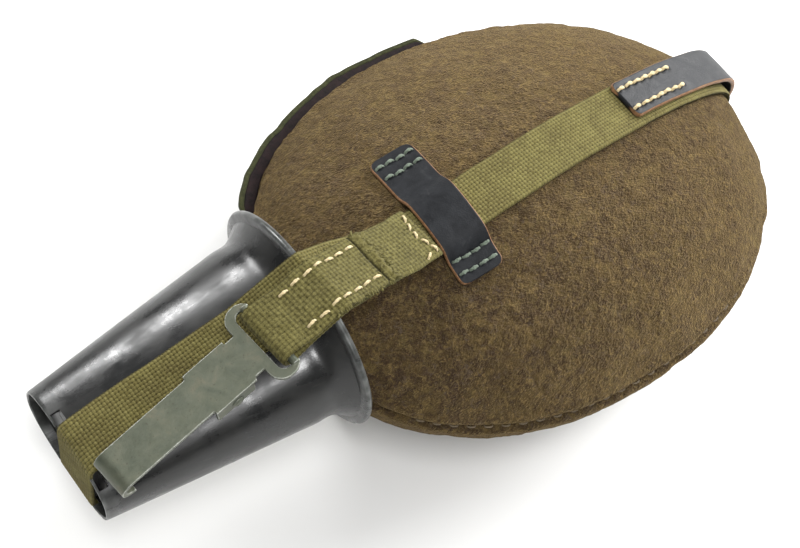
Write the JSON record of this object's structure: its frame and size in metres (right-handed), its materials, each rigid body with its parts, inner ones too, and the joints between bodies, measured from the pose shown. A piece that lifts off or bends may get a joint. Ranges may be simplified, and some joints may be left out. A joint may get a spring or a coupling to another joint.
{
  "type": "canteen",
  "caption": "Flat felt-covered field canteen with an upturned cup over its neck, web straps in leather loops and a sprung carrying hook.",
  "frame": {"origin": "centre of the bounding box in plan, on the surface that the canteen lies on", "axes": "+Z from the front face up to the back face that the hook lies on, +X towards the foot of the flask, -X towards the base of the cup"},
  "size_m": [0.2737, 0.1446, 0.0972],
  "materials": {
    "bare_aluminium": "satin spun aluminium",
    "cap_enamel": "moulded black",
    "seal_rubber": "matt",
    "cup_enamel": "glossy black-grey paint, worn at the rim",
    "wool_felt": "mottled brown wool felt",
    "felt_thread": "matt thread",
    "facing_cloth": "dark facing",
    "binding_tape": "olive tape",
    "snap_metal": "painted",
    "black_leather": "dyed black, tan cut edges",
    "green_thread": "waxed thread",
    "cream_thread": "waxed linen thread",
    "olive_web": "coarse woven web",
    "tab_web": "coarse ribbed web",
    "hook_paint": "matt grey-green paint, worn edges",
    "spring_steel": "bare"
  },
  "bodies": {
    "root": {"flask_body": "bare_aluminium", "flask_neck": "bare_aluminium", "felt_back": "wool_felt", "felt_front": "wool_felt", "seam_stitches": "felt_thread", "closure_facing": "facing_cloth", "closure_binding": "binding_tape", "snap_caps": "snap_metal", "back_loop": "black_leather", "back_loop_stitches": "green_thread", "front_loop": "black_leather", "front_loop_stitches": "green_thread", "bottom_leather": "black_leather", "bottom_leather_stitches": "cream_thread", "main_strap": "olive_web", "strap_keeper": "black_leather", "strap_eyelets": "snap_metal", "strap_tip": "snap_metal", "buckle_frame": "hook_paint"},
    "cap_seat": {"cap_gasket": "seal_rubber"},
    "cap": {"cap": "cap_enamel"},
    "cup": {"cup": "cup_enamel", "cup_bridge": "cup_enamel", "cup_strap": "olive_web", "hook_tab": "tab_web", "hook_tab_stitches": "cream_thread", "junction_stitches": "cream_thread"},
    "hook": {"hook_body": "hook_paint", "hook_rivet": "hook_paint", "hook_gate_spring": "spring_steel"},
    "gate": {"hook_gate": "hook_paint"},
    "roller": {"buckle_roller": "hook_paint"},
    "prong": {"buckle_prong": "hook_paint"}
  },
  "joints": [
    {"name": "cup_lift", "type": "slide", "parent": "root", "child": "cup", "axis": [-0.989, 0, -0.1478], "range_m": [0, 0.045], "deforming": ["cup_strap", "hook_tab", "hook_tab_stitches", "junction_stitches"]},
    {"name": "seal_rise", "type": "slide", "parent": "root", "child": "cap_seat", "axis": [-1, 0, 0], "range_m": [0, 0.009]},
    {"name": "cap_turn", "type": "hinge", "parent": "cap_seat", "child": "cap", "pos_m": [-0.05, -0.0023, 0.0482], "axis": [-1, 0, 0], "range_deg": [0, 1080]},
    {"name": "hook_swing", "type": "hinge", "parent": "cup", "child": "hook", "pos_m": [-0.08075, -0.01467, 0.089], "axis": [-0.1426, 0.9898, 0], "range_deg": [0, 120]},
    {"name": "gate_swing", "type": "hinge", "parent": "hook", "child": "gate", "pos_m": [-0.09731, -0.01706, 0.08047], "axis": [-0.1426, 0.9898, 0], "range_deg": [0, 11], "stiffness_Nm_per_rad": 0.02, "springref_deg": -5.73},
    {"name": "roller_spin", "type": "hinge", "parent": "root", "child": "roller", "pos_m": [-0.0378, -0.00615, 0.01237], "axis": [-0.0698, 0.9976, 0], "continuous": true},
    {"name": "prong_swing", "type": "hinge", "parent": "root", "child": "prong", "pos_m": [-0.02333, -0.00513, 0.00691], "axis": [0.0698, -0.9976, 0], "range_deg": [0, 50]}
  ],
  "couplings": [
    {"joint": "seal_rise", "follows": "cap_turn", "m_per_rad": 0.00047746}
  ]
}
